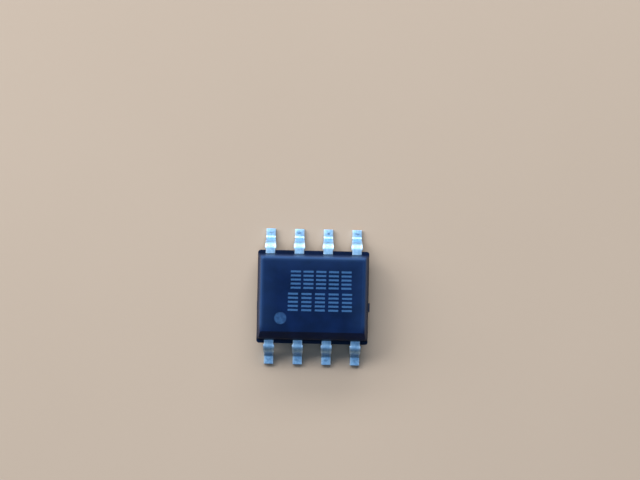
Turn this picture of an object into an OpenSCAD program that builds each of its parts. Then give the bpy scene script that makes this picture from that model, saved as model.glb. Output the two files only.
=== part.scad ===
// Dual power transistor in an eight-lead gull-wing package for surface mounting.
// An n-channel die and a p-channel die sit on a drain paddle each, in one moulded body.
// Lengths are in millimetres. The origin is on the board, under the middle of the body,
// +Z points up, +X runs along the rows of leads and +Y points to the row of drain leads.
// Leads 1 to 4 stand at -Y, counted from -X to +X, and leads 5 to 8 at +Y, from +X to -X.

/* [Moulded body] */
// Length of the body along the rows of leads
body_l = 4.9; // [4.6:0.05:5.2]
// Width of the body between the rows of leads
body_w = 3.82; // [3.6:0.02:4.2]
// Height of the top face above the board
top_z = 1.6; // [1.5:0.05:1.8]
// Height of the underside above the board
standoff = 0.15; // [0.05:0.01:0.25]
// Draft of the walls, in degrees from upright
draft = 14; // [5:1:16]
// Corner radius of the top face and of the underside
corner_r = 0.05; // [0.03:0.01:0.2]
// Radius of the edges round the top face and the underside
edge_r = 0.13; // [0.02:0.01:0.2]
// Height of the sloped edge along the side of lead 1
slope_h = 0.24; // [0.1:0.02:0.4]
// How far the web of compound between the leads stands out from the walls
web_out = 0.14; // [0.04:0.02:0.18]
// Corner radius of that web
web_r = 0.12; // [0.04:0.02:0.2]
// Diameter of the dot that marks lead 1
dot_d = 0.56; // [0.3:0.02:0.8]
// Depth of the dot
dot_depth = 0.02; // [0.01:0.01:0.05]
// Distance from the end of the body to the middle of the dot
dot_end = 1.04; // [0.7:0.01:1.4]
// Distance from the side of lead 1 to the middle of the dot
dot_side = 0.99; // [0.8:0.01:1.4]
// Diameter of the ejector pin's mark in the underside
ejector_d = 1.0; // [0.6:0.1:1.6]
// Depth of the ejector pin's mark
ejector_depth = 0.03; // [0.01:0.01:0.05]

/* [Leads] */
// Distance between the middles of neighbouring leads
pitch = 1.27; // [1.2:0.01:1.34]
// Width of a lead
lead_w = 0.42; // [0.3:0.01:0.5]
// Thickness of the sheet that the lead frame is stamped from
lead_t = 0.2; // [0.15:0.01:0.25]
// Height of the sheet's upper face above the board, where the leads leave the body
lead_top = 0.95; // [0.85:0.01:1.05]
// Straight length of a lead between the wall and its upper bend
shoulder_l = 0.2; // [0.15:0.01:0.3]
// Inner radius of both bends of a lead
bend_r = 0.16; // [0.1:0.01:0.2]
// Angle that each bend turns through, in degrees
bend_angle = 75; // [60:1:85]
// Straight length of a foot
foot_l = 0.29; // [0.2:0.01:0.5]
// How far the stub of the cut-off dam bar stands out on each side of a lead
dam_stub = 0.04; // [0.01:0.01:0.08]
// Share of the upper bend that the stub covers, from the bend's start
dam_share = 0.7; // [0.4:0.05:0.9]

/* [Paddles and posts] */
// Gap between neighbouring pieces of the lead frame inside the body
frame_gap = 0.25; // [0.15:0.01:0.35]
// Distance from a paddle to the wall on the drain side
paddle_edge = 0.45; // [0.3:0.05:0.7]
// Distance from a bond post to the wall
post_edge = 0.3; // [0.2:0.02:0.4]
// Length of a bond post, across the body
post_l = 0.55; // [0.45:0.05:0.7]
// How far a bond post is wider than its lead, on the side away from its neighbour
post_ear = 0.1; // [0.05:0.01:0.15]
// Width of a paddle's tie bar
tie_w = 0.4; // [0.2:0.05:0.5]
// Distance of the tie bars from the middle of the body, towards leads 1 to 4
tie_off = 0.41; // [0.1:0.05:0.5]
// How far the cut end of tie bar 1 stands out of the body
tie_stub_1 = 0.01; // [0.01:0.01:0.1]
// How far the cut end of tie bar 2 stands out of the body
tie_stub_2 = 0.06; // [0.01:0.01:0.1]

/* [Dies] */
// Length of each die along the rows of leads
die_l = 1.5; // [1.3:0.05:1.7]
// Width of the n-channel die
n_die_w = 1.55; // [1.2:0.05:1.9]
// Width of the p-channel die
p_die_w = 1.85; // [1.2:0.05:1.95]
// Thickness of a die
die_t = 0.2; // [0.1:0.01:0.25]
// Distance from a die to the edge of its paddle, on the posts' side
die_edge = 0.2; // [0.1:0.02:0.25]
// Thickness of the solder under a die
solder_t = 0.03; // [0.02:0.01:0.05]
// How far the solder stands out round a die
solder_rim = 0.04; // [0.02:0.01:0.08]

/* [Bond wires] */
// Number of source wires on each die
source_wires = 4; // [2:1:4]
// Diameter of a bond wire
wire_d = 0.05; // [0.03:0.005:0.06]
// Distance between neighbouring source wires
wire_step = 0.2; // [0.15:0.01:0.25]
// Diameter of the squashed ball at the die end of a wire
ball_d = 0.11; // [0.09:0.01:0.14]
// Height of the squashed ball
ball_h = 0.04; // [0.03:0.005:0.05]
// Distance from the balls to the edge of the die on the posts' side
ball_edge = 0.3; // [0.2:0.02:0.4]
// Distance from the outermost balls to the ends of the die
ball_inset = 0.18; // [0.1:0.02:0.25]
// Height of a wire above its ball, before it bends over
neck_h = 0.08; // [0.05:0.01:0.1]
// Radius of the bend at the top of a wire's loop, at the middle of the wire
loop_r = 0.08; // [0.05:0.01:0.1]
// Diameter of the bond at the post end of a wire
stitch_d = 0.12; // [0.11:0.01:0.16]
// Distance from the bonds on a post to the post's inner end
stitch_edge = 0.2; // [0.12:0.01:0.25]

/* [Hidden] */
$fn = 48;
// Facets round a corner of the moulding, steps in the rounding of its edges and in a lead's bend
corner_fn = 32;
edge_steps = 4;
bend_steps = 8;

// The sheet's lower face inside the body, and the walls behind the leads
lead_base = lead_top - lead_t;
side_y = body_w / 2;

// The formed part of a lead, measured along the middle of the sheet
bend_mid = bend_r + lead_t / 2;
bend_drop = bend_mid * (1 - cos(bend_angle));
riser_l = (lead_base - 2 * bend_drop) / sin(bend_angle);
bends_out = 2 * bend_mid * sin(bend_angle) + riser_l * cos(bend_angle);
dam_angle = dam_share * bend_angle;

// Where the posts end, the paddles lie and the dies sit
post_y = post_edge + post_l - side_y;
paddle_near = post_y + frame_gap;
paddle_far = side_y - paddle_edge;
paddle_inner = frame_gap / 2;
paddle_outer = 1.5 * pitch + lead_w / 2;
die_x = (paddle_inner + paddle_outer) / 2;
die_y = paddle_near + die_edge;
die_base = lead_top + solder_t;
die_top = die_base + die_t;

// Where the wires leave the dies and land on the posts
ball_y = die_y + ball_edge;
neck_top = die_top + ball_h + neck_h;
stitch_y = post_y - stitch_edge;

// A wire thins where it bends, and its straight stretches reach a little way into the bend
loop_d = 0.9 * wire_d;
loop_lap = wire_d / 5;

// Transistor 1 is the n-channel one, at -X, and transistor 2 the p-channel one, at +X
transistors = [1, 2];
function outward(d) = d == 1 ? -1 : 1;
function middle_x(d) = outward(d) * pitch;
function source_x(d) = middle_x(d) - pitch / 2;
function gate_x(d) = middle_x(d) + pitch / 2;
function drains_x(d) = [middle_x(d) - pitch / 2, middle_x(d) + pitch / 2];
function source_post(d) = [source_x(d) - lead_w / 2 - post_ear, gate_x(d) - lead_w / 2 - frame_gap];
function gate_post(d) = [gate_x(d) - lead_w / 2, gate_x(d) + lead_w / 2 + post_ear];
function middle(range) = (range[0] + range[1]) / 2;
function die_w(d) = d == 1 ? n_die_w : p_die_w;
function tie_stub(d) = d == 1 ? tie_stub_1 : tie_stub_2;
function source_ball(d, i) =
    [outward(d) * die_x - die_l / 2 + ball_inset + (i - 1) * wire_step, ball_y];
function source_stitch(d, i) =
    [middle(source_post(d)) + (i - (source_wires + 1) / 2) * wire_step, stitch_y];
function gate_ball(d) = [outward(d) * die_x + die_l / 2 - ball_inset, ball_y];
function gate_stitch(d) = [middle(gate_post(d)), stitch_y];

compound_colour = [0.05, 0.13, 0.29];
tin_colour = [0.70, 0.80, 0.88];
solder_colour = [0.58, 0.58, 0.60];
silicon_colour = [0.36, 0.37, 0.42];
wire_colour = [0.86, 0.68, 0.32];

// A rectangle between two pairs of coordinates, each pair in either order
module rectangle(xs, ys) {
    translate([min(xs), min(ys)]) square([max(xs) - min(xs), max(ys) - min(ys)]);
}

// Cut from the lead frame's sheet, at its height in the body
module sheet() {
    translate([0, 0, lead_base]) linear_extrude(lead_t) children();
}

// An outline in Y and Z, drawn out along X to a width
module across(width) {
    rotate([90, 0, 90]) linear_extrude(width, center = true) children();
}

// Steps of a bend from one angle to another, and a list of steps without its first
function steps(from, to) = [for (k = [0 : bend_steps]) from + (to - from) * k / bend_steps];
function tail(list) = [for (k = [1 : len(list) - 1]) list[k]];

// Points on a face of the upper or the lower bend, at a radius from the bend's axis
function crest(r, angles) = [for (a = angles) [shoulder_l + r * sin(a), lead_base - bend_r + r * cos(a)]];
function heel(r, angles) =
    [for (a = angles) [shoulder_l + bends_out - r * sin(a), lead_t + bend_r - r * cos(a)]];

// The formed part of a lead, from the wall at Y = 0 out to the toe, with the stubs of its dam bar
module gull_wing() {
    outer_r = bend_r + lead_t;
    toe_y = shoulder_l + bends_out + foot_l;
    across(lead_w) polygon(concat(
        [[0, lead_top]],
        crest(outer_r, concat(steps(0, dam_angle), tail(steps(dam_angle, bend_angle)))),
        heel(bend_r, steps(bend_angle, 0)),
        [[toe_y, lead_t], [toe_y, 0]],
        heel(outer_r, steps(0, bend_angle)),
        crest(bend_r, concat(steps(bend_angle, dam_angle), tail(steps(dam_angle, 0)))),
        [[0, lead_base]]
    ));
    across(lead_w + 2 * dam_stub)
        polygon(concat(crest(outer_r, steps(0, dam_angle)), crest(bend_r, steps(dam_angle, 0))));
}

// A drain lead's formed part on the +Y side, or a source or gate lead's on the -Y side
module drain_wing(x) {
    translate([x, side_y, 0]) gull_wing();
}

module post_wing(x) {
    translate([x, -side_y, 0]) rotate(180) gull_wing();
}

// A die paddle with its two drain leads and the tie bar that held it while it was moulded
module drain_frame(d) {
    color(tin_colour) {
        sheet() {
            rectangle(outward(d) * [paddle_inner, paddle_outer], [paddle_near, paddle_far]);
            for (x = drains_x(d)) rectangle([x - lead_w / 2, x + lead_w / 2], [paddle_near, side_y]);
            rectangle(outward(d) * [die_x, body_l / 2 + tie_stub(d)],
                [-tie_off - tie_w / 2, -tie_off + tie_w / 2]);
        }
        for (x = drains_x(d)) drain_wing(x);
    }
}

// A lead that ends inside the body in a bond post
module post_lead(x, post) {
    sheet() {
        rectangle(post, [post_edge - side_y, post_y]);
        rectangle([x - lead_w / 2, x + lead_w / 2], [-side_y, post_y]);
    }
    post_wing(x);
}

module source_lead(d) {
    color(tin_colour) post_lead(source_x(d), source_post(d));
}

module gate_lead(d) {
    color(tin_colour) post_lead(gate_x(d), gate_post(d));
}

module die_attach(d) {
    color(solder_colour)
        translate([outward(d) * die_x, die_y + die_w(d) / 2, lead_top])
            linear_extrude(solder_t)
                square([die_l + 2 * solder_rim, die_w(d) + 2 * solder_rim], center = true);
}

module die(d) {
    color(silicon_colour)
        translate([outward(d) * die_x, die_y + die_w(d) / 2, die_base])
            linear_extrude(die_t) square([die_l, die_w(d)], center = true);
}

// A wire that rises from its ball on a die, bends over and slopes down to its bond on a post.
// The slope is the line from the bond that touches the bend.
module bond_wire(ball, stitch) {
    run = norm(stitch - ball);
    fall = [run - loop_r, neck_top - lead_top - wire_d / 2];
    slope_l = sqrt(norm(fall) ^ 2 - loop_r ^ 2);
    slope = atan2(fall[1], fall[0]) + atan2(loop_r, slope_l);
    color(wire_colour)
        translate([ball[0], ball[1], 0]) rotate(atan2(stitch[1] - ball[1], stitch[0] - ball[0])) {
            intersection() {
                translate([0, 0, die_top + ball_h / 2]) sphere(d = ball_d);
                translate([0, 0, die_top]) cylinder(d = 2 * ball_d, h = ball_h);
            }
            translate([loop_r, 0, neck_top]) {
                translate([-loop_r, 0, -neck_h - ball_h / 2])
                    cylinder(d = wire_d, h = ball_h / 2 + neck_h + loop_lap);
                rotate([90, 0, 0]) rotate(90 - slope) {
                    rotate_extrude(angle = 90 + slope) translate([loop_r, 0]) circle(d = loop_d);
                    translate([loop_r, loop_lap, 0]) rotate([90, 0, 0])
                        cylinder(d = wire_d, h = loop_lap + slope_l);
                }
            }
            translate([run, 0, lead_top]) intersection() {
                sphere(d = stitch_d);
                cylinder(d = 2 * stitch_d, h = stitch_d);
            }
        }
}

module source_wire(d, i) {
    bond_wire(source_ball(d, i), source_stitch(d, i));
}

module gate_wire(d) {
    bond_wire(gate_ball(d), gate_stitch(d));
}

// Half of the moulding, from the parting plane at Z = 0 up to a height
module drafted_half(h) {
    base_r = corner_r + edge_r / cos(draft) + (h - edge_r) * tan(draft);
    rounding = [for (k = [0 : edge_steps])
        let (a = draft + (90 - draft) * k / edge_steps)
            [corner_r + edge_r * cos(a), h - edge_r + edge_r * sin(a)]];
    hull()
        for (x = [-1, 1], y = [-1, 1])
            translate([x * (body_l / 2 - base_r), y * (side_y - base_r), 0])
                rotate_extrude($fn = corner_fn) polygon(concat([[0, 0], [base_r, 0]], rounding, [[0, h]]));
}

// The web at the height of the sheet, where the compound filled up to the dam bars
module web() {
    sheet() {
        square([body_l, body_w + 2 * (web_out - web_r)], center = true);
        square([body_l - 2 * web_r, body_w + 2 * web_out], center = true);
        for (x = [-1, 1], y = [-1, 1])
            translate([x * (body_l / 2 - web_r), y * (side_y + web_out - web_r)]) circle(web_r);
    }
}

// What the sloped edge takes off along the side of lead 1
module sloped_edge() {
    wall_y = (top_z - lead_top - slope_h) * tan(draft) - side_y;
    across(body_l) polygon([
        [wall_y - slope_h, top_z - 2 * slope_h],
        [wall_y + 2 * slope_h, top_z + slope_h],
        [wall_y - slope_h, top_z + slope_h]
    ]);
}

module embedded() {
    for (d = transistors) {
        drain_frame(d);
        source_lead(d);
        gate_lead(d);
        die_attach(d);
        die(d);
        for (i = [1 : source_wires]) source_wire(d, i);
        gate_wire(d);
    }
}

module mould_body() {
    color(compound_colour) difference() {
        union() {
            translate([0, 0, lead_top]) drafted_half(top_z - lead_top);
            translate([0, 0, lead_base]) mirror([0, 0, 1]) drafted_half(lead_base - standoff);
            web();
        }
        sloped_edge();
        translate([dot_end - body_l / 2, dot_side - side_y, top_z - dot_depth])
            cylinder(d = dot_d, h = 2 * dot_depth);
        translate([0, 0, standoff - ejector_depth]) cylinder(d = ejector_d, h = 2 * ejector_depth);
        embedded();
    }
}

mould_body();
die(1);  // n_channel_die
die(2);  // p_channel_die
for (d = transistors) {
    drain_frame(d);
    source_lead(d);
    gate_lead(d);
    die_attach(d);
    gate_wire(d);
    for (i = [1 : source_wires])
        source_wire(d, i);
}
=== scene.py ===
from math import atan2, cos, pi, radians, sin, tan

import bmesh
import bpy
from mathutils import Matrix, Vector


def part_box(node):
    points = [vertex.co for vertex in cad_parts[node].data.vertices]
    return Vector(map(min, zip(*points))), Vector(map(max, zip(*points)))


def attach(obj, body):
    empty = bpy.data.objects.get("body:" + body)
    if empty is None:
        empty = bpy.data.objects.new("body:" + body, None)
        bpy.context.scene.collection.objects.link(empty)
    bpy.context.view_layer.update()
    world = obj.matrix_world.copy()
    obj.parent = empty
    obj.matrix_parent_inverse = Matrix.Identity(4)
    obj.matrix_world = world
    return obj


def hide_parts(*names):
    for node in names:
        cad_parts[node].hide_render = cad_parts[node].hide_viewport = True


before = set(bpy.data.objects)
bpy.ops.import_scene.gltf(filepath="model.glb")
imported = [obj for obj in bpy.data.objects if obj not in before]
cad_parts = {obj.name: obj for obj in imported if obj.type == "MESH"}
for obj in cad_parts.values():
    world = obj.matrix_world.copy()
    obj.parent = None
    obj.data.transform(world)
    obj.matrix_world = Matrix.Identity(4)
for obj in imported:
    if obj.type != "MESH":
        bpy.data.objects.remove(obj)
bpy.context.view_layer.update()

# Drain frames: each die's paddle, its two drain leads and its tie bar are one stamping of 0.2 mm
# copper alloy. The frame is plated with matte tin after moulding, then cut from its strip and bent
# to gull wings, so the toes and the ends of the tie bars are bare copper.
sheet_low, sheet_top = 0.75, 0.95
wall = 1.91
pitch = 1.27
lead_width = 0.42
half_lead = lead_width / 2
shoulder, foot, toe = 0.2, 0.29, 3.0
bend_inside = 0.16
bend_angle = radians(75)
dam_stub = 0.04
rolled_edge = 0.018


def start_block(name, low, high):
    """A block between two corners, in millimetres, opened for shaping."""
    bpy.ops.object.select_all(action="DESELECT")
    bpy.ops.mesh.primitive_cube_add(
        size=1,
        location=[(a + b) / 2 for a, b in zip(low, high)],
        scale=[b - a for a, b in zip(low, high)],
    )
    piece = bpy.context.object
    piece.name = piece.data.name = name
    bpy.ops.object.transform_apply(location=True, rotation=True, scale=True)
    bpy.ops.object.mode_set(mode="EDIT")
    bpy.ops.mesh.select_mode(type="FACE")
    return piece


def pick_faces(piece, wanted):
    """Selects the faces for which wanted(middle, normal) holds, and no others."""
    bpy.ops.mesh.select_all(action="DESELECT")
    shape = bmesh.from_edit_mesh(piece.data)
    for face in shape.faces:
        face.select_set(bool(wanted(face.calc_center_median(), face.normal)))
    bmesh.update_edit_mesh(piece.data)


def slice_through(point, normal):
    """Cuts every face along a plane, and leaves both sides in place."""
    bpy.ops.mesh.select_all(action="SELECT")
    bpy.ops.mesh.bisect(plane_co=point, plane_no=normal, threshold=1e-6)


def draw_out(*step):
    """Extrudes the selected faces by a step in millimetres."""
    bpy.ops.mesh.extrude_region_move(TRANSFORM_OT_translate={"value": step})


def form_gull_wings(piece, out):
    """Draws the selected lead ends out of the wall, bends them down and lays their feet on the board.
    out is 1 for the row at +Y and -1 for the row at -Y."""
    sheet = sheet_top - sheet_low
    middle = bend_inside + sheet / 2
    drop = middle * (1 - cos(bend_angle))
    riser = (sheet_low - 2 * drop) / sin(bend_angle)
    reach = 2 * middle * sin(bend_angle) + riser * cos(bend_angle)
    crest = out * (wall + shoulder)
    heel = out * (wall + shoulder + reach)

    draw_out(0, out * shoulder, 0)
    bpy.ops.mesh.spin(
        steps=16, angle=out * bend_angle, center=(0, crest, sheet_low - bend_inside), axis=(1, 0, 0)
    )
    draw_out(0, out * riser * cos(bend_angle), -riser * sin(bend_angle))
    bpy.ops.mesh.spin(
        steps=14, angle=-out * bend_angle, center=(0, heel, sheet + bend_inside), axis=(1, 0, 0)
    )
    draw_out(0, out * foot, 0)

    def along_lead(spot):
        """How far a place lies from the crest along the first bend and the riser."""
        y, z = (spot.y - crest) * out, spot.z - sheet_low + bend_inside
        if atan2(y, z) <= bend_angle + 1e-4:
            return middle * atan2(y, z)
        return middle * bend_angle + y * cos(bend_angle) - z * sin(bend_angle)

    # The dam bar was cut close beside the leads, and its stubs taper out along bend and riser.
    taper = middle * bend_angle + riser
    for side in (-1, 1):
        pick_faces(piece, lambda spot, normal: normal.x * side > 0.9 and 0 < along_lead(spot) < taper)
        draw_out(side * dam_stub, 0, 0)
        shape = bmesh.from_edit_mesh(piece.data)
        for point in {v for face in shape.faces if face.select for v in face.verts}:
            point.co.x -= side * dam_stub * along_lead(point.co) / taper
        bmesh.update_edit_mesh(piece.data)


def close_stamping(piece):
    """Rolls the stamped edges over, and brings the piece from millimetres to metres."""
    bpy.ops.mesh.select_all(action="SELECT")
    bpy.ops.mesh.remove_doubles(threshold=1e-5)
    bpy.ops.mesh.normals_make_consistent(inside=False)
    bpy.ops.object.mode_set(mode="OBJECT")
    roll = piece.modifiers.new("rolled edges", "BEVEL")
    roll.limit_method, roll.angle_limit = "ANGLE", radians(40)
    roll.width, roll.segments = rolled_edge, 3
    bpy.ops.object.modifier_apply(modifier=roll.name)
    bpy.ops.object.mode_set(mode="EDIT")
    bpy.ops.mesh.select_all(action="SELECT")
    bpy.ops.mesh.dissolve_degenerate(threshold=1e-4)
    bpy.ops.object.mode_set(mode="OBJECT")
    bpy.ops.object.shade_smooth_by_angle(angle=radians(35))
    piece.scale = (0.001, 0.001, 0.001)
    bpy.ops.object.transform_apply(location=True, rotation=True, scale=True)


def tone(red, green, blue):
    """A colour as it is seen, from 0 to 255, for a shader."""
    seen = [c / 255 for c in (red, green, blue)]
    return [c / 12.92 if c <= 0.04045 else ((c + 0.055) / 1.055) ** 2.4 for c in seen] + [1]


def place(tree, kind, feeds=None, **settings):
    """Adds a shader node with its settings, and sets or links each named input."""
    made = tree.nodes.new(kind)
    for key, value in settings.items():
        setattr(made, key, value)
    for key, value in (feeds or {}).items():
        if isinstance(value, bpy.types.NodeSocket):
            tree.links.new(value, made.inputs[key])
        else:
            made.inputs[key].default_value = value
    return made


def reckon(tree, operation, *values):
    """One sum on values or sockets."""
    return place(tree, "ShaderNodeMath", dict(enumerate(values)), operation=operation).outputs[0]


def spread(tree, value, low, high, to_low, to_high):
    """A value brought from one span to another, smoothly and within its ends."""
    feeds = {"Value": value, "From Min": low, "From Max": high, "To Min": to_low, "To Max": to_high}
    return place(tree, "ShaderNodeMapRange", feeds, interpolation_type="SMOOTHSTEP").outputs[0]


def tinted(tree, share, first, second):
    """A colour between two colours."""
    return place(tree, "ShaderNodeMix", {0: share, 6: first, 7: second}, data_type="RGBA").outputs[2]


def finish_of(name):
    """A new material with its node tree and its surface shader."""
    made = bpy.data.materials.new(name)
    made.use_nodes = True
    return made, made.node_tree, made.node_tree.nodes["Principled BSDF"]


# Fine grain: cloudy patches and a much finer grain, both from 0 to 1. Every matte finish here has it,
# at sizes of its own.
grain = bpy.data.node_groups.new("fine grain", "ShaderNodeTree")
grain.interface.new_socket("Patches per metre", in_out="INPUT", socket_type="NodeSocketFloat")
grain.interface.new_socket("Grains per metre", in_out="INPUT", socket_type="NodeSocketFloat")
grain.interface.new_socket("Patches", in_out="OUTPUT", socket_type="NodeSocketFloat")
grain.interface.new_socket("Grain", in_out="OUTPUT", socket_type="NodeSocketFloat")
given = grain.nodes.new("NodeGroupInput").outputs
handed = grain.nodes.new("NodeGroupOutput").inputs
spot = place(grain, "ShaderNodeTexCoord").outputs["Object"]
for size, result, layers in (("Patches per metre", "Patches", 3), ("Grains per metre", "Grain", 2)):
    cloud = place(grain, "ShaderNodeTexNoise", {"Vector": spot, "Scale": given[size], "Detail": layers})
    grain.links.new(cloud.outputs["Fac"], handed[result])


def grain_in(tree, patches, grains):
    """Places the fine grain in a material, and gives its two values."""
    made = place(tree, "ShaderNodeGroup", node_tree=grain)
    made.inputs["Patches per metre"].default_value = patches
    made.inputs["Grains per metre"].default_value = grains
    return made.outputs["Patches"], made.outputs["Grain"]


tin, tree, skin = finish_of("matte tin")
patches, grains = grain_in(tree, 9000, 60000)
spot = place(tree, "ShaderNodeTexCoord").outputs["Object"]
where = place(tree, "ShaderNodeSeparateXYZ", {0: spot}).outputs
lengthways = place(tree, "ShaderNodeMapping", {"Vector": spot, "Scale": (40000, 2500, 2500)}).outputs[0]
drag = place(tree, "ShaderNodeTexNoise", {"Vector": lengthways, "Scale": 1, "Detail": 2}).outputs["Fac"]
cloudy = spread(tree, patches, 0.3, 0.7, 0, 1)
plated = tinted(tree, cloudy, tone(136, 181, 221), tone(163, 205, 237))
# A test contact has pressed a small dull pit into each foot, wider than it is long and fainter in
# the row at -Y.
pit_from_toe, pit_widening = 0.19, 0.4
in_pitch = reckon(tree, "FRACT", reckon(tree, "DIVIDE", where["X"], 0.001 * pitch))
aside = reckon(tree, "MULTIPLY", reckon(tree, "SUBTRACT", in_pitch, 0.5), pitch)
along = reckon(tree, "MULTIPLY_ADD", reckon(tree, "ABSOLUTE", where["Y"]), 1000, pit_from_toe - toe)
aside_squared, along_squared = (reckon(tree, "POWER", way, 2) for way in (aside, along))
from_pit = reckon(
    tree, "SQRT", reckon(tree, "MULTIPLY_ADD", aside_squared, pit_widening, along_squared)
)
ragged = reckon(tree, "MULTIPLY_ADD", patches, 0.12, reckon(tree, "ADD", from_pit, -0.06))
pit = reckon(
    tree,
    "MULTIPLY",
    spread(tree, ragged, 0.01, 0.085, 1, 0),
    spread(tree, where["Z"], 0.00012, 0.00018, 0, 1),
)
pit = reckon(tree, "MULTIPLY", pit, spread(tree, where["Y"], -0.001, 0.001, 0.45, 1))
# The bending tools have burnished the plating along both edges of each lead, and the paler colour there
# is also a painted highlight on the rolled edges.
burnish_and_rim_highlight = spread(tree, reckon(tree, "ABSOLUTE", aside), 0.13, 0.2, 0, 0.7)
burnish_and_rim_highlight = reckon(tree, "MULTIPLY", burnish_and_rim_highlight, spread(tree, drag, 0.3, 0.7, 0.4, 1))
plated = tinted(tree, burnish_and_rim_highlight, plated, tone(209, 229, 246))
dented = tinted(tree, reckon(tree, "MULTIPLY", pit, 0.7), plated, tone(64, 96, 135))
# The sides of the tie bars are darker and rougher close to where they were cut off.
darkened_tie_end = spread(tree, reckon(tree, "ABSOLUTE", where["X"]), 0.002445, 0.002455, 0, 1)
tree.links.new(tinted(tree, darkened_tie_end, dented, tone(52, 64, 92)), skin.inputs["Base Color"])
rough = reckon(tree, "MULTIPLY_ADD", drag, 0.18, reckon(tree, "MULTIPLY_ADD", grains, 0.16, 0.38))
rough = reckon(tree, "MULTIPLY_ADD", burnish_and_rim_highlight, -0.12, rough)
tree.links.new(reckon(tree, "MULTIPLY_ADD", darkened_tie_end, 0.3, rough), skin.inputs["Roughness"])
height = reckon(tree, "MULTIPLY_ADD", drag, 0.3, reckon(tree, "MULTIPLY_ADD", pit, -2, grains))
bump = place(tree, "ShaderNodeBump", {"Height": height, "Strength": 0.3, "Distance": 0.000005})
tree.links.new(bump.outputs[0], skin.inputs["Normal"])
skin.inputs["Metallic"].default_value = 1

copper, tree, skin = finish_of("sheared copper")
patches, grains = grain_in(tree, 12000, 70000)
torn = spread(tree, patches, 0.35, 0.65, 0, 1)
tree.links.new(tinted(tree, torn, tone(112, 84, 76), tone(150, 116, 102)), skin.inputs["Base Color"])
tree.links.new(reckon(tree, "MULTIPLY_ADD", grains, 0.3, 0.3), skin.inputs["Roughness"])
bump = place(tree, "ShaderNodeBump", {"Height": torn, "Strength": 0.5, "Distance": 0.000008})
tree.links.new(bump.outputs[0], skin.inputs["Normal"])
skin.inputs["Metallic"].default_value = 1


def plate(piece, cut):
    """Tin all over, and bare copper where the piece was cut from its strip.
    cut(middle, normal) is in metres."""
    piece.data.materials.clear()
    piece.data.materials.append(tin)
    piece.data.materials.append(copper)
    for face in piece.data.polygons:
        face.material_index = 1 if cut(face.center, face.normal) else 0
    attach(piece, "root")


paddle_inner, paddle_outer = 0.125, 2.115
paddle_near, paddle_far = -0.81, 1.46
tie_low, tie_high = -0.61, -0.21
body_end = 2.45
cut_skin = 0.005

for number, side, stub in ((1, -1, 0.01), (2, 1, 0.06)):
    low_x, high_x = sorted((side * paddle_inner, side * paddle_outer))
    piece = start_block(
        f"drain_stamping_{number}", (low_x, paddle_near, sheet_low), (high_x, paddle_far, sheet_top)
    )
    leads = (side * 0.5 * pitch, side * 1.5 * pitch)
    for lead in leads:
        slice_through((lead - half_lead, 0, 0), (1, 0, 0))
        slice_through((lead + half_lead, 0, 0), (1, 0, 0))
    slice_through((0, tie_low, 0), (0, 1, 0))
    slice_through((0, tie_high, 0), (0, 1, 0))
    pick_faces(piece, lambda spot, normal: normal.x * side > 0.9 and tie_low < spot.y < tie_high)
    draw_out(side * (body_end + stub - paddle_outer), 0, 0)
    pick_faces(
        piece, lambda spot, normal: normal.y > 0.9 and any(abs(spot.x - x) < half_lead for x in leads)
    )
    draw_out(0, wall - paddle_far, 0)
    form_gull_wings(piece, 1)
    close_stamping(piece)
    plate(
        piece,
        lambda spot, normal: (normal.y > 0.9 and spot.y > 0.001 * (toe - cut_skin))
        or (normal.x * side > 0.9 and spot.x * side > 0.001 * (body_end + stub - cut_skin)),
    )
    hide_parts(f"drain_frame_{number}")


# Source and gate leads: four more pieces of the same stamping. Each has a post inside the body that
# its bond wires land on, wide for the four wires of a source and narrow for the one of a gate.
post_near, post_far = -1.61, -1.06
post_ear, post_gap = 0.1, 0.25

for kind, lead, low_x, high_x in (
    ("source", -1.5 * pitch, -1.5 * pitch - half_lead - post_ear, -0.5 * pitch - half_lead - post_gap),
    ("gate", -0.5 * pitch, -0.5 * pitch - half_lead, -0.5 * pitch + half_lead + post_ear),
):
    first = start_block(
        f"{kind}_stamping_1", (low_x, post_near, sheet_low), (high_x, post_far, sheet_top)
    )
    slice_through((lead - half_lead, 0, 0), (1, 0, 0))
    slice_through((lead + half_lead, 0, 0), (1, 0, 0))
    pick_faces(first, lambda spot, normal: normal.y < -0.9 and abs(spot.x - lead) < half_lead)
    draw_out(0, -(wall + post_near), 0)
    form_gull_wings(first, -1)
    close_stamping(first)
    bpy.ops.object.select_all(action="DESELECT")
    first.select_set(True)
    bpy.ops.object.duplicate()
    second = bpy.context.object
    second.name = second.data.name = f"{kind}_stamping_2"
    second.location.x = 0.002 * pitch
    bpy.ops.object.transform_apply(location=True, rotation=True, scale=True)
    for number, piece in ((1, first), (2, second)):
        plate(piece, lambda spot, normal: normal.y < -0.9 and spot.y < -0.001 * (toe - cut_skin))
        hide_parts(f"{kind}_lead_{number}")


# Die attach: a thin layer of soft solder, melted between the paddle and the metal on the back of the
# die. Its surface is dull and slightly rippled.
solder, tree, skin = finish_of("dull solder")
patches, grains = grain_in(tree, 6000, 40000)
tree.links.new(
    tinted(tree, patches, tone(138, 139, 144), tone(176, 177, 182)), skin.inputs["Base Color"]
)
tree.links.new(reckon(tree, "MULTIPLY_ADD", grains, 0.25, 0.3), skin.inputs["Roughness"])
bump = place(tree, "ShaderNodeBump", {"Height": patches, "Strength": 0.4, "Distance": 0.00001})
tree.links.new(bump.outputs[0], skin.inputs["Normal"])
skin.inputs["Metallic"].default_value = 1
for number in (1, 2):
    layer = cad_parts[f"die_attach_{number}"]
    layer.data.materials.clear()
    layer.data.materials.append(solder)


# Dies: sawn blocks of silicon, one n-channel and one p-channel. Each top is aluminium source metal
# over rows of cells, with a dark border, and the sawn sides are dark and a little mottled.
border, cell_pitch = 0.00006, 0.00004

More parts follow.
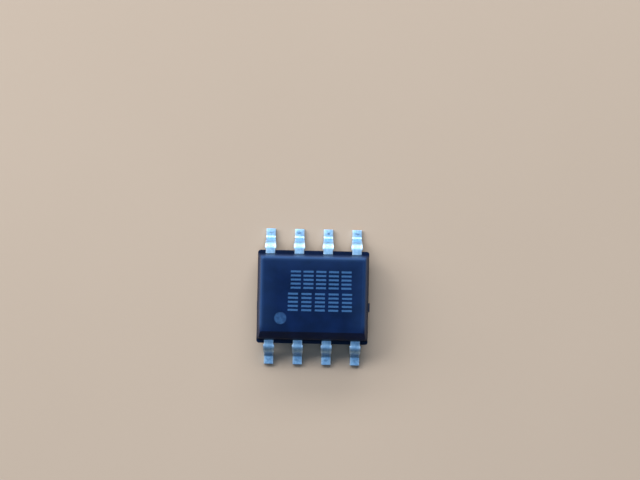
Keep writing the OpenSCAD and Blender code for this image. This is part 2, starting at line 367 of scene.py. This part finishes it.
for node in ("n_channel_die", "p_channel_die"):
    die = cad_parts[node]
    low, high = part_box(node)
    silicon, tree, skin = finish_of(f"{node} silicon")
    patches, grains = grain_in(tree, 9000, 80000)
    where = place(
        tree, "ShaderNodeSeparateXYZ", {0: place(tree, "ShaderNodeTexCoord").outputs["Object"]}
    ).outputs
    inset = reckon(tree, "SUBTRACT", where["X"], low.x)
    for from_edge in (
        reckon(tree, "SUBTRACT", high.x, where["X"]),
        reckon(tree, "SUBTRACT", where["Y"], low.y),
        reckon(tree, "SUBTRACT", high.y, where["Y"]),
    ):
        inset = reckon(tree, "MINIMUM", inset, from_edge)
    metal = spread(tree, inset, border, border + 0.00001, 0, 1)
    cells = reckon(tree, "SINE", reckon(tree, "MULTIPLY", where["X"], 2 * pi / cell_pitch))
    lined = spread(tree, cells, -1, 1, 0, 1)
    source_metal = tinted(tree, lined, tone(150, 152, 158), tone(186, 188, 192))
    bare = tinted(tree, patches, tone(58, 60, 72), tone(88, 90, 104))
    tree.links.new(tinted(tree, metal, bare, source_metal), skin.inputs["Base Color"])
    tree.links.new(reckon(tree, "MULTIPLY_ADD", grains, 0.2, 0.22), skin.inputs["Roughness"])
    tree.links.new(reckon(tree, "MULTIPLY_ADD", metal, 0.6, 0.35), skin.inputs["Metallic"])
    bump = place(tree, "ShaderNodeBump", {"Height": lined, "Strength": 0.2, "Distance": 0.000002})
    tree.links.new(bump.outputs[0], skin.inputs["Normal"])
    die.data.materials.clear()
    die.data.materials.append(silicon)


# Bond wires: drawn wire, melted to a ball on the die and pressed flat on the post. Its colour is
# slightly uneven, and a very fine grain dulls its shine.
drawn, tree, skin = finish_of("drawn wire")
patches, grains = grain_in(tree, 20000, 120000)
tree.links.new(tinted(tree, patches, tone(214, 168, 92), tone(236, 200, 128)), skin.inputs["Base Color"])
tree.links.new(reckon(tree, "MULTIPLY_ADD", grains, 0.2, 0.15), skin.inputs["Roughness"])
bump = place(tree, "ShaderNodeBump", {"Height": grains, "Strength": 0.2, "Distance": 0.000001})
tree.links.new(bump.outputs[0], skin.inputs["Normal"])
skin.inputs["Metallic"].default_value = 1
for node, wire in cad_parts.items():
    if "_wire_" in node:
        wire.data.materials.clear()
        wire.data.materials.append(drawn)


# Moulded body: epoxy compound filled with silica, pressed round the lead frame in one shot. Its walls
# have draft both ways from the sheet, and compound has filled the gaps between the leads out to the
# dam bars.
body_length, body_width = 4.9, 3.82
body_top, standoff = 1.6, 0.15
draft = radians(14)
corner, edge = 0.08, 0.13
slope = 0.31
web_out, web_corner = 0.14, 0.12
lap, lap_taper = 0.05, 0.98
behind_wall, past_web, clearance = 0.06, 0.1, 0.003
softened = 0.015


def round_corners(piece, radius):
    """Rounds the edges of a block that run up its four corners."""
    bpy.ops.mesh.select_mode(type="EDGE")
    bpy.ops.mesh.select_all(action="DESELECT")
    shape = bmesh.from_edit_mesh(piece.data)
    for line in shape.edges:
        a, b = (v.co for v in line.verts)
        line.select_set(abs(a.z - b.z) > 1e-6)
    bmesh.update_edit_mesh(piece.data)
    bpy.ops.mesh.bevel(offset=radius, offset_type="OFFSET", segments=12, profile=0.5, affect="EDGES")
    bpy.ops.mesh.select_mode(type="FACE")


def drafted_half(name, from_z, to_z):
    """Half of the moulding: a slab at the sheet, drawn in to its top or underside."""
    up = 1 if to_z > from_z else -1
    high = abs(to_z - from_z)
    piece = start_block(
        name,
        (-body_length / 2, -body_width / 2, min(from_z, from_z - up * lap)),
        (body_length / 2, body_width / 2, max(from_z, from_z - up * lap)),
    )
    pick_faces(piece, lambda spot, normal: normal.z * up < -0.9)
    bpy.ops.transform.resize(value=(lap_taper, lap_taper, 1))
    pick_faces(piece, lambda spot, normal: normal.z * up > 0.9)
    at, level = edge / cos(draft) + (high - edge) * tan(draft), 0
    for step in range(11):
        turn = draft + (pi / 2 - draft) * step / 10
        next_at, next_level = edge * cos(turn), high - edge + edge * sin(turn)
        bpy.ops.mesh.inset(thickness=at - next_at, depth=next_level - level)
        at, level = next_at, next_level
    round_corners(piece, corner)
    bpy.ops.object.mode_set(mode="OBJECT")
    return piece


def cut_or_add(piece, tool, operation):
    """Joins a shape to a piece, or takes it away from it, and removes the tool."""
    bpy.ops.object.select_all(action="DESELECT")
    bpy.context.view_layer.objects.active = piece
    piece.select_set(True)
    made = piece.modifiers.new("shape", "BOOLEAN")
    made.operation, made.object, made.solver = operation, tool, "MANIFOLD"
    bpy.ops.object.modifier_apply(modifier=made.name)
    bpy.data.objects.remove(tool)


body = start_block(
    "moulded_body",
    (-body_length / 2, -body_width / 2 - web_out, sheet_low),
    (body_length / 2, body_width / 2 + web_out, sheet_top),
)
round_corners(body, web_corner)
bpy.ops.object.mode_set(mode="OBJECT")
cut_or_add(body, drafted_half("upper_half", sheet_top, body_top), "UNION")
cut_or_add(body, drafted_half("lower_half", sheet_low, standoff), "UNION")

# The edge of the top face beside leads 1 to 4 slopes at 45 degrees.
slope_top = (body_top - sheet_top - slope) * tan(draft) - body_width / 2 + slope
bpy.ops.object.mode_set(mode="EDIT")
bpy.ops.mesh.select_all(action="SELECT")
bpy.ops.mesh.bisect(
    plane_co=(0, slope_top, body_top),
    plane_no=(0, -1, 1),
    clear_outer=True,
    use_fill=True,
    threshold=1e-6,
)
bpy.ops.object.mode_set(mode="OBJECT")

# Each lead leaves through an opening with a little clearance.
for side in (-1, 1):
    for lead in (-1.5, -0.5, 0.5, 1.5):
        near, far = sorted((side * (wall - behind_wall), side * (wall + web_out + past_web)))
        opening = start_block(
            "lead_opening",
            (lead * pitch - half_lead - clearance, near, sheet_low - clearance),
            (lead * pitch + half_lead + clearance, far, sheet_top + clearance),
        )
        bpy.ops.object.mode_set(mode="OBJECT")
        cut_or_add(body, opening, "DIFFERENCE")

soften = body.modifiers.new("softened edges", "BEVEL")
soften.limit_method, soften.angle_limit = "ANGLE", radians(24)
soften.width, soften.segments = softened, 2
bpy.ops.object.modifier_apply(modifier=soften.name)

# The mould has left a shallow dot beside lead 1 and the round mark of an ejector pin underneath.
dot_x, dot_y, dot_across, dot_deep = -1.41, -0.92, 0.56, 0.02
ejector_across, ejector_deep = 1.0, 0.03
for name, across, deep, at in (
    ("dot_tool", dot_across, dot_deep, (dot_x, dot_y, body_top)),
    ("ejector_tool", ejector_across, ejector_deep, (0, 0, standoff)),
):
    bpy.ops.object.select_all(action="DESELECT")
    bpy.ops.mesh.primitive_cylinder_add(vertices=64, radius=across / 2, depth=2 * deep, location=at)
    tool = bpy.context.object
    tool.name = name
    bpy.ops.object.transform_apply(location=True, rotation=True, scale=True)
    cut_or_add(body, tool, "DIFFERENCE")
bpy.ops.object.shade_smooth_by_angle(angle=radians(12))
body.scale = (0.001, 0.001, 0.001)
bpy.ops.object.transform_apply(location=True, rotation=True, scale=True)


# Laser mark: a beam has bleached the top face to a pale blue-grey, in a dot beside lead 1 and in two
# rows of hatched blocks, line by line. The compound is painted paler along its top edges as a painted
# highlight, and a painted sheen fades in from the far edge and the ends; the near side gets neither.
rows = bpy.data.node_groups.new("hatched row", "ShaderNodeTree")
for name in ("X", "Y", "First block", "Bottom line", "Block pitch"):
    rows.interface.new_socket(name, in_out="INPUT", socket_type="NodeSocketFloat")
rows.interface.new_socket("Mark", in_out="OUTPUT", socket_type="NodeSocketFloat")
given = rows.nodes.new("NodeGroupInput").outputs
handed = rows.nodes.new("NodeGroupOutput").inputs
block, line, line_pitch, blocks, lines = 0.44, 0.085, 0.178, 5, 5


def in_stripe(value, share, count):
    """1 in the first share of each whole step from 0 to a count of steps, and 0 elsewhere."""
    part = reckon(rows, "FRACT", value)
    inside = reckon(rows, "LESS_THAN", part, share)
    begun = reckon(rows, "GREATER_THAN", value, 0)
    ended = reckon(rows, "LESS_THAN", value, count)
    return reckon(rows, "MULTIPLY", inside, reckon(rows, "MULTIPLY", begun, ended))


past_first = reckon(rows, "SUBTRACT", given["X"], given["First block"])
along = reckon(rows, "DIVIDE", past_first, given["Block pitch"])
up = reckon(rows, "DIVIDE", reckon(rows, "SUBTRACT", given["Y"], given["Bottom line"]), line_pitch)
in_block = in_stripe(along, reckon(rows, "DIVIDE", block, given["Block pitch"]), blocks)
in_line = in_stripe(up, line / line_pitch, lines)
rows.links.new(reckon(rows, "MULTIPLY", in_block, in_line), handed["Mark"])

compound, tree, skin = finish_of("mould compound")
patches, grains = grain_in(tree, 1500, 45000)
spot = place(tree, "ShaderNodeTexCoord").outputs["Object"]
where = place(tree, "ShaderNodeSeparateXYZ", {0: spot}).outputs
waver = place(tree, "ShaderNodeTexNoise", {"Vector": spot, "Scale": 25000, "Detail": 1}).outputs["Fac"]
shift = reckon(tree, "MULTIPLY_ADD", waver, 0.03, -0.015)
x_mm = reckon(tree, "MULTIPLY_ADD", where["X"], 1000, shift)
y_mm = reckon(tree, "MULTIPLY_ADD", where["Y"], 1000, shift)
z_mm = reckon(tree, "MULTIPLY", where["Z"], 1000)
marks = []
for first, bottom, block_pitch in ((-0.98, 0.377, 0.555), (-1.09, -0.6, 0.5925)):
    row = place(tree, "ShaderNodeGroup", node_tree=rows)
    for key, value in (("First block", first), ("Bottom line", bottom), ("Block pitch", block_pitch)):
        row.inputs[key].default_value = value
    tree.links.new(x_mm, row.inputs["X"])
    tree.links.new(y_mm, row.inputs["Y"])
    marks.append(row.outputs["Mark"])
from_dot = reckon(
    tree,
    "SQRT",
    reckon(
        tree,
        "ADD",
        reckon(tree, "POWER", reckon(tree, "SUBTRACT", x_mm, dot_x), 2),
        reckon(tree, "POWER", reckon(tree, "SUBTRACT", y_mm, dot_y), 2),
    ),
)
ring_pitch = 0.07
ring = reckon(tree, "SINE", reckon(tree, "MULTIPLY", from_dot, 2 * pi / ring_pitch))
disc = spread(tree, from_dot, 0.24, 0.275, 1, 0)
mottle = place(tree, "ShaderNodeTexNoise", {"Vector": spot, "Scale": 8000, "Detail": 1}).outputs["Fac"]
uneven = reckon(
    tree, "MULTIPLY", spread(tree, ring, -1, 1, 0.8, 1), spread(tree, mottle, 0.3, 0.7, 0.3, 0.7)
)
dot_mark = reckon(tree, "MULTIPLY", disc, uneven)
centre = spread(tree, from_dot, 0.02, 0.06, 0.3, 0)
top_rim = 1.57
on_top = reckon(tree, "GREATER_THAN", z_mm, top_rim)
burnt = reckon(tree, "MAXIMUM", reckon(tree, "MAXIMUM", *marks), reckon(tree, "ADD", dot_mark, centre))
burnt = reckon(tree, "MULTIPLY", burnt, on_top)
burnt = reckon(tree, "MULTIPLY", burnt, spread(tree, waver, 0.25, 0.6, 0.7, 1))
cloudy = spread(tree, patches, 0.3, 0.7, 0, 1)
navy = tinted(tree, cloudy, tone(4, 19, 52), tone(7, 26, 66))
# The walls keep the skin that slid along the mould, and look a little greyer than the top.
navy = tinted(tree, spread(tree, z_mm, 1.1, 1.5, 0.5, 0), navy, tone(14, 20, 38))
flat_end, flat_far = 2.22, 1.67
inward = reckon(
    tree,
    "MINIMUM",
    reckon(tree, "SUBTRACT", flat_end, reckon(tree, "ABSOLUTE", x_mm)),
    reckon(tree, "SUBTRACT", flat_far, y_mm),
)
# Painted sheen: the top face is painted paler towards the far edge and both ends, fading inward.
painted_far_sheen = reckon(tree, "ADD", spread(tree, inward, 0, 0.9, 0.1, 0), spread(tree, inward, 0, 0.12, 0.12, 0))
painted_far_sheen = reckon(tree, "MULTIPLY", painted_far_sheen, spread(tree, z_mm, 1.3, 1.5, 0, 1))
on_edge = reckon(
    tree, "MULTIPLY", spread(tree, z_mm, 1, 1.52, 0, 1), spread(tree, z_mm, top_rim, body_top, 1, 0)
)
# Painted highlight: the rounded top edges are painted paler; neither paint reaches the near side, which
# faces away from the lamps.
painted_edge_highlight = reckon(tree, "MULTIPLY_ADD", on_edge, 0.33, painted_far_sheen)
painted_edge_highlight = reckon(tree, "MULTIPLY", painted_edge_highlight, spread(tree, y_mm, -1.6, -1.1, 0, 1))
navy = tinted(tree, painted_edge_highlight, navy, tone(54, 87, 136))
specks = spread(tree, grains, 0.62, 0.74, 0, 0.12)
speckled = tinted(tree, specks, navy, tone(63, 83, 116))
tree.links.new(tinted(tree, burnt, speckled, tone(56, 95, 141)), skin.inputs["Base Color"])
tree.links.new(reckon(tree, "MULTIPLY_ADD", grains, 0.2, 0.34), skin.inputs["Roughness"])
skin.inputs["Specular IOR Level"].default_value = 0.17
skin.inputs["Specular Tint"].default_value = (0.35, 0.65, 1, 1)
bump = place(tree, "ShaderNodeBump", {"Height": grains, "Strength": 0.8, "Distance": 0.00001})
tree.links.new(bump.outputs[0], skin.inputs["Normal"])
body.data.materials.clear()
body.data.materials.append(compound)
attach(body, "root")
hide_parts("mould_body")


# Table: a plain pale board that the part stands on. Its matte paint is very slightly uneven,
# and it reaches well past the picture on all sides.
table_across = 0.8
bpy.ops.object.select_all(action="DESELECT")
bpy.ops.mesh.primitive_plane_add(size=table_across, location=(0, 0, 0))
table = bpy.context.object
table.name = table.data.name = "table"
paint, tree, skin = finish_of("pale table")
patches, grains = grain_in(tree, 60, 3000)
tree.links.new(
    tinted(tree, patches, tone(174, 158, 142), tone(180, 164, 148)), skin.inputs["Base Color"]
)
tree.links.new(reckon(tree, "MULTIPLY_ADD", grains, 0.1, 0.75), skin.inputs["Roughness"])
table.data.materials.append(paint)


# Light: two wide soft panels on the far side, one high and one low, a smaller one at the far left,
# a weak one overhead and a dim room, so that shadows fall to the near side and stay soft.
def soft_panel(name, azimuth, elevation, distance, across, high, power, colour):
    """A panel that faces the part. Azimuth 0 is +X and 90 is +Y."""
    lamp = bpy.data.lights.new(name, "AREA")
    lamp.shape, lamp.size, lamp.size_y = "RECTANGLE", across, high
    lamp.energy, lamp.color = power, colour
    holder = bpy.data.objects.new(name, lamp)
    bpy.context.scene.collection.objects.link(holder)
    a, e = radians(azimuth), radians(elevation)
    toward = Vector((cos(a) * cos(e), sin(a) * cos(e), sin(e)))
    holder.location = toward * distance
    holder.rotation_euler = toward.to_track_quat("Z", "Y").to_euler()


soft_panel("far panel", 103, 49, 0.3, 0.4, 0.1, 1, (1, 1, 1))
soft_panel("low far panel", 98, 26, 0.3, 0.4, 0.06, 0.6, (1, 1, 1))
soft_panel("left panel", 152, 28, 0.3, 0.2, 0.2, 0.55, (1, 1, 1))
soft_panel("overhead panel", 270, 72, 0.4, 0.2, 0.2, 0.28, (0.6, 0.83, 1.1))
room = bpy.data.worlds.new("dim room")
room.use_nodes = True
room.node_tree.nodes["Background"].inputs["Color"].default_value = (0.03, 0.035, 0.045, 1)
room.node_tree.nodes["Background"].inputs["Strength"].default_value = 1
bpy.context.scene.world = room

# Camera: looks straight down from 120 mm, with the part below the middle of the picture
# and turned a little.
height, roll, picture_width = 0.12, radians(1.2), 0.02841
lens = bpy.data.cameras.new("camera")
camera = bpy.data.objects.new("camera", lens)
bpy.context.scene.collection.objects.link(camera)
lens.sensor_width = 36
lens.lens = lens.sensor_width * height / picture_width
lens.clip_start, lens.clip_end = 0.001, 10
right, above = 0.000315, 0.002523
camera.location = (right * cos(roll) - above * sin(roll), right * sin(roll) + above * cos(roll), height)
camera.rotation_euler = (0, 0, roll)
bpy.context.scene.camera = camera
bpy.context.scene.view_settings.view_transform = "Standard"
